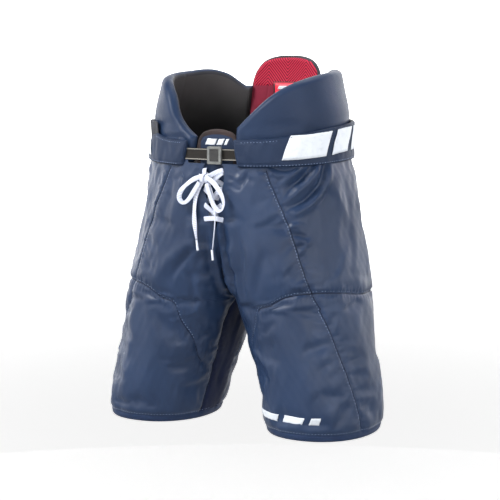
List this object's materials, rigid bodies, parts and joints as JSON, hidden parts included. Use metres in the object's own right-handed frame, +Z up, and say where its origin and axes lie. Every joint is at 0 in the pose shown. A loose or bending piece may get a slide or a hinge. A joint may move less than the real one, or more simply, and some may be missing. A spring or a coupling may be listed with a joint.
{
  "type": "hockey pants",
  "caption": "Padded ice hockey pants with a laced fly, buckled belt, raised hip wings and a tilting kidney pad.",
  "frame": {"origin": "on the floor under the middle of the pants, which stand on their two leg hems", "axes": "+Z up from the hems to the waist, front of the pants towards -Y, the wearer's left towards +X"},
  "size_m": [0.4832, 0.2907, 0.616],
  "materials": {
    "shell_nylon": "satin nylon",
    "stretch_panel": "dull stretch knit",
    "foam": "closed cell foam",
    "liner_mesh": "matte brushed lining",
    "guard_plastic": "moulded sheet",
    "kidney_red": "ribbed lining",
    "label_red": "rubber label",
    "lace_white": "waxed flat braid",
    "aglet_plastic": "clear moulded tip",
    "webbing_dark": "woven webbing",
    "buckle_grey": "moulded, satin",
    "eyelet_metal": "painted dark"
  },
  "bodies": {
    "pelvis": {"crotch_gusset": "stretch_panel", "front_panel_left": "shell_nylon", "front_panel_right": "shell_nylon", "side_panel_left": "shell_nylon", "side_panel_right": "shell_nylon", "seat_panel": "shell_nylon", "hip_foam_left": "foam", "hip_foam_right": "foam", "tailbone_foam": "foam", "spine_foam": "foam", "waist_liner": "liner_mesh", "wing_cover_left": "shell_nylon", "wing_cover_right": "shell_nylon", "wing_foam_left": "foam", "wing_foam_right": "foam", "wing_lining_left": "liner_mesh", "wing_lining_right": "liner_mesh", "groin_stretch_panel_left": "stretch_panel", "groin_stretch_panel_right": "stretch_panel", "seat_stretch_panel_left": "stretch_panel", "seat_stretch_panel_right": "stretch_panel", "lace_eyelets": "eyelet_metal", "fly_lacing": "lace_white", "lace_knot": "lace_white", "lace_loop_left": "lace_white", "lace_loop_right": "lace_white", "lace_tail_left": "lace_white", "lace_tail_right": "lace_white", "lace_aglet_left": "aglet_plastic", "lace_aglet_right": "aglet_plastic", "belt_sleeve_left": "shell_nylon", "belt_sleeve_right": "shell_nylon", "belt_side_mesh": "liner_mesh", "belt_strap_left": "webbing_dark", "belt_strap_right": "webbing_dark"},
    "left_leg": {"thigh_foam_front_left": "foam", "thigh_foam_outer_left": "foam", "thigh_foam_rear_left": "foam", "thigh_shell_front_left": "shell_nylon", "thigh_shell_outer_left": "shell_nylon", "inner_thigh_panel_left": "stretch_panel", "thigh_plate_left": "guard_plastic", "thigh_liner_left": "liner_mesh", "leg_hem_band_left": "shell_nylon"},
    "right_leg": {"thigh_foam_front_right": "foam", "thigh_foam_outer_right": "foam", "thigh_foam_rear_right": "foam", "thigh_shell_front_right": "shell_nylon", "thigh_shell_outer_right": "shell_nylon", "inner_thigh_panel_right": "stretch_panel", "thigh_plate_right": "guard_plastic", "thigh_liner_right": "liner_mesh", "leg_hem_band_right": "shell_nylon"},
    "kidney_flap": {"kidney_cover": "shell_nylon", "kidney_foam": "foam", "kidney_lining": "kidney_red", "kidney_label": "label_red"},
    "tongue": {"fly_tongue": "shell_nylon"},
    "buckle": {"belt_buckle_frame": "buckle_grey"},
    "buckle_plate": {"belt_buckle_plate": "buckle_grey"}
  },
  "joints": [
    {"name": "left_leg_swing", "type": "hinge", "parent": "pelvis", "child": "left_leg", "pos_m": [0.1, -0.0106, 0.24], "axis": [-1, 0, 0], "range_deg": [-10, 25], "deforming": ["groin_stretch_panel_left", "seat_stretch_panel_left"]},
    {"name": "right_leg_swing", "type": "hinge", "parent": "pelvis", "child": "right_leg", "pos_m": [-0.1, -0.0106, 0.24], "axis": [-1, 0, 0], "range_deg": [-10, 25], "deforming": ["groin_stretch_panel_right", "seat_stretch_panel_right"]},
    {"name": "kidney_flap_tilt", "type": "hinge", "parent": "pelvis", "child": "kidney_flap", "pos_m": [0, 0.1154, 0.509], "axis": [1, 0, 0], "range_deg": [-10, 12]},
    {"name": "tongue_tilt", "type": "hinge", "parent": "pelvis", "child": "tongue", "pos_m": [0, -0.1206, 0.352], "axis": [-1, 0, 0], "range_deg": [0, 10]},
    {"name": "buckle_slide", "type": "slide", "parent": "pelvis", "child": "buckle", "axis": [1, 0, 0], "range_m": [-0.01, 0.01]},
    {"name": "buckle_plate_hinge", "type": "hinge", "parent": "buckle", "child": "buckle_plate", "pos_m": [-0.0025, -0.1363, 0.455], "axis": [0, 0, -1], "range_deg": [0, 60]}
  ]
}
